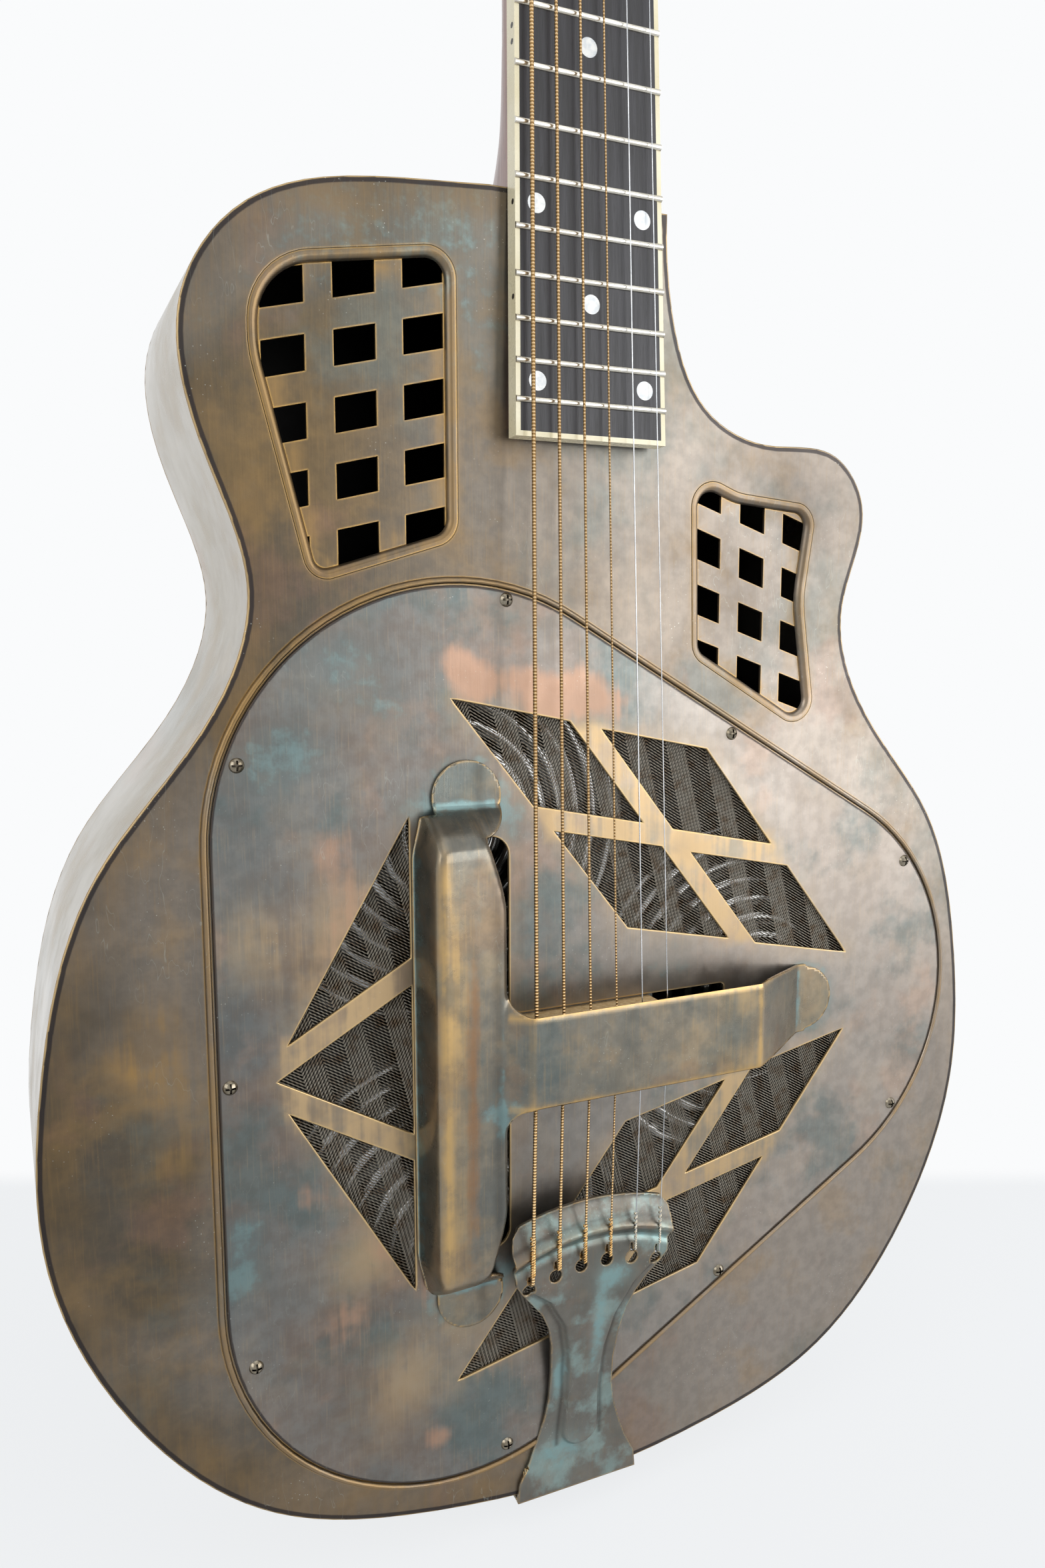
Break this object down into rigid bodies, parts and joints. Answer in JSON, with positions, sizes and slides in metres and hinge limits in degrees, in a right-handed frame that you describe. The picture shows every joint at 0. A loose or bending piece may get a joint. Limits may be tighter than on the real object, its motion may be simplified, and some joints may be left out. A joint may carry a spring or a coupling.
{
  "type": "resonator guitar",
  "caption": "Metal-bodied resonator guitar: spun cones under a rounded triangular coverplate, T-shaped handrest, stamped tailpiece, bound fingerboard and geared tuners.",
  "frame": {"origin": "middle of the tail, half way through the depth of the body, where the strap button's axis meets the side wall", "axes": "+Z from the tail up the neck, +X towards the treble side, -Y out of the face towards the audience"},
  "size_m": [0.3762, 0.1031, 1.0065],
  "materials": {
    "body_metal": "aged brown-bronze patina over sheet brass, satin",
    "cover_metal": "mottled blue-grey patina with copper patches, satin",
    "rest_metal": "worn blue-grey patina with gold edges, half polished",
    "tail_metal": "dark patina with pale green-blue blotches, satin",
    "mesh_wire": "fine woven wire, darkened",
    "cone_aluminium": "bright spun aluminium",
    "well_metal": "black inside paint",
    "bridge_cast": "as cast",
    "saddle_maple": "oiled maple",
    "screw_nickel": "nickel plated",
    "tuner_nickel": "nickel plated",
    "neck_mahogany": "pinkish-brown mahogany, satin lacquer",
    "inner_wood": "bare mahogany",
    "board_ebony": "oiled ebony",
    "binding_cream": "polished cream plastic",
    "pearl": "polished pearl",
    "side_dot_black": "polished",
    "fret_nickel": "polished nickel silver",
    "nut_bone": "polished bone",
    "veneer_black": "dark veneer, satin lacquer",
    "cover_black": "polished black",
    "rod_steel": "plain",
    "string_wound": "bronze winding",
    "string_plain": "bright drawn wire"
  },
  "bodies": {
    "root": {"back_dowels": "inner_wood", "back_plate": "body_metal", "board_riser": "neck_mahogany", "bridge": "bridge_cast", "cone_bass_lower": "cone_aluminium", "cone_bass_upper": "cone_aluminium", "cone_treble": "cone_aluminium", "cover_screws": "screw_nickel", "coverplate": "cover_metal", "end_block": "inner_wood", "fingerboard": "board_ebony", "fingerboard_binding": "binding_cream", "fret_markers": "pearl", "frets": "fret_nickel", "handrest": "rest_metal", "headstock_veneer": "veneer_black", "mesh_bass": "mesh_wire", "mesh_lower": "mesh_wire", "mesh_upper": "mesh_wire", "neck": "neck_mahogany", "neck_stick": "inner_wood", "nut": "nut_bone", "saddle": "saddle_maple", "side_bass": "body_metal", "side_dots": "side_dot_black", "side_treble": "body_metal", "soundwell": "well_metal", "strap_button": "tuner_nickel", "string_1": "string_plain", "string_2": "string_plain", "string_3": "string_wound", "string_4": "string_wound", "string_5": "string_wound", "string_6": "string_wound", "tailpiece": "tail_metal", "top_plate": "body_metal", "truss_cover": "cover_black", "truss_cover_screws": "screw_nickel", "truss_rod": "rod_steel", "tuner_bushings": "tuner_nickel", "tuner_housings": "tuner_nickel", "tuner_screws": "screw_nickel"},
    "tuner_knob_6": {"tuner_knob_6": "tuner_nickel"},
    "tuner_post_6": {"tuner_post_6": "tuner_nickel"},
    "tuner_knob_5": {"tuner_knob_5": "tuner_nickel"},
    "tuner_post_5": {"tuner_post_5": "tuner_nickel"},
    "tuner_knob_4": {"tuner_knob_4": "tuner_nickel"},
    "tuner_post_4": {"tuner_post_4": "tuner_nickel"},
    "tuner_knob_3": {"tuner_knob_3": "tuner_nickel"},
    "tuner_post_3": {"tuner_post_3": "tuner_nickel"},
    "tuner_knob_2": {"tuner_knob_2": "tuner_nickel"},
    "tuner_post_2": {"tuner_post_2": "tuner_nickel"},
    "tuner_knob_1": {"tuner_knob_1": "tuner_nickel"},
    "tuner_post_1": {"tuner_post_1": "tuner_nickel"}
  },
  "joints": [
    {"name": "knob_6_turn", "type": "hinge", "parent": "root", "child": "tuner_knob_6", "pos_m": [-0.0235, 0.00304, 0.87533], "axis": [-1, 0, 0], "continuous": true},
    {"name": "post_6_turn", "type": "hinge", "parent": "root", "child": "tuner_post_6", "pos_m": [-0.0235, -0.01668, 0.87155], "axis": [0, 0.9608, -0.2773], "continuous": true},
    {"name": "knob_5_turn", "type": "hinge", "parent": "root", "child": "tuner_knob_5", "pos_m": [-0.0235, 0.01469, 0.91568], "axis": [-1, 0, 0], "continuous": true},
    {"name": "post_5_turn", "type": "hinge", "parent": "root", "child": "tuner_post_5", "pos_m": [-0.0235, -0.00503, 0.9119], "axis": [0, 0.9608, -0.2773], "continuous": true},
    {"name": "knob_4_turn", "type": "hinge", "parent": "root", "child": "tuner_knob_4", "pos_m": [-0.0235, 0.02634, 0.95603], "axis": [-1, 0, 0], "continuous": true},
    {"name": "post_4_turn", "type": "hinge", "parent": "root", "child": "tuner_post_4", "pos_m": [-0.0235, 0.00662, 0.95225], "axis": [0, 0.9608, -0.2773], "continuous": true},
    {"name": "knob_3_turn", "type": "hinge", "parent": "root", "child": "tuner_knob_3", "pos_m": [0.0235, 0.02634, 0.95603], "axis": [1, 0, 0], "continuous": true},
    {"name": "post_3_turn", "type": "hinge", "parent": "root", "child": "tuner_post_3", "pos_m": [0.0235, 0.00662, 0.95225], "axis": [0, 0.9608, -0.2773], "continuous": true},
    {"name": "knob_2_turn", "type": "hinge", "parent": "root", "child": "tuner_knob_2", "pos_m": [0.0235, 0.01469, 0.91568], "axis": [1, 0, 0], "continuous": true},
    {"name": "post_2_turn", "type": "hinge", "parent": "root", "child": "tuner_post_2", "pos_m": [0.0235, -0.00503, 0.9119], "axis": [0, 0.9608, -0.2773], "continuous": true},
    {"name": "knob_1_turn", "type": "hinge", "parent": "root", "child": "tuner_knob_1", "pos_m": [0.0235, 0.00304, 0.87533], "axis": [1, 0, 0], "continuous": true},
    {"name": "post_1_turn", "type": "hinge", "parent": "root", "child": "tuner_post_1", "pos_m": [0.0235, -0.01668, 0.87155], "axis": [0, 0.9608, -0.2773], "continuous": true}
  ],
  "couplings": [
    {"joint": "post_6_turn", "follows": "knob_6_turn", "ratio": -0.071429},
    {"joint": "post_5_turn", "follows": "knob_5_turn", "ratio": -0.071429},
    {"joint": "post_4_turn", "follows": "knob_4_turn", "ratio": -0.071429},
    {"joint": "post_3_turn", "follows": "knob_3_turn", "ratio": 0.071429},
    {"joint": "post_2_turn", "follows": "knob_2_turn", "ratio": 0.071429},
    {"joint": "post_1_turn", "follows": "knob_1_turn", "ratio": 0.071429}
  ]
}
